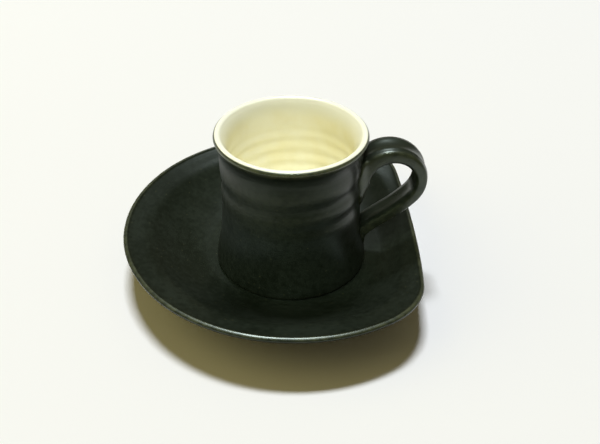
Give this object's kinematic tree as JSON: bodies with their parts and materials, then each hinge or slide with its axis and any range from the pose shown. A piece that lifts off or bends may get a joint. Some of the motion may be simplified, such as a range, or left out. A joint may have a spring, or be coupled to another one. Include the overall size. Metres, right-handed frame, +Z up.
{
  "type": "coffee cup with saucer",
  "caption": "Thrown stoneware coffee cup with a pulled strap handle, black outside and cream inside, on a dished saucer with one nearly straight side.",
  "frame": {"origin": "below the middle of the whole outline, on the surface that the saucer stands on", "axes": "+Z up, +X towards the handle and the saucer's straight side, +Y away from the side that the picture was taken from"},
  "size_m": [0.1368, 0.1568, 0.073],
  "materials": {
    "black_glaze": "satin olive-black glaze",
    "cream_glaze": "glossy cream glaze",
    "bare_clay": "unglazed stoneware, wiped clean"
  },
  "bodies": {
    "saucer": {"saucer_plate": "black_glaze", "saucer_foot_ring": "bare_clay"},
    "cup": {"cup_body": "black_glaze", "cup_foot_ring": "bare_clay", "cup_liner": "cream_glaze", "strap_handle": "black_glaze"}
  },
  "joints": [
    {"name": "cup_lift", "type": "slide", "parent": "saucer", "child": "cup", "axis": [0, 0, 1], "range_m": [0, 0.12]}
  ]
}
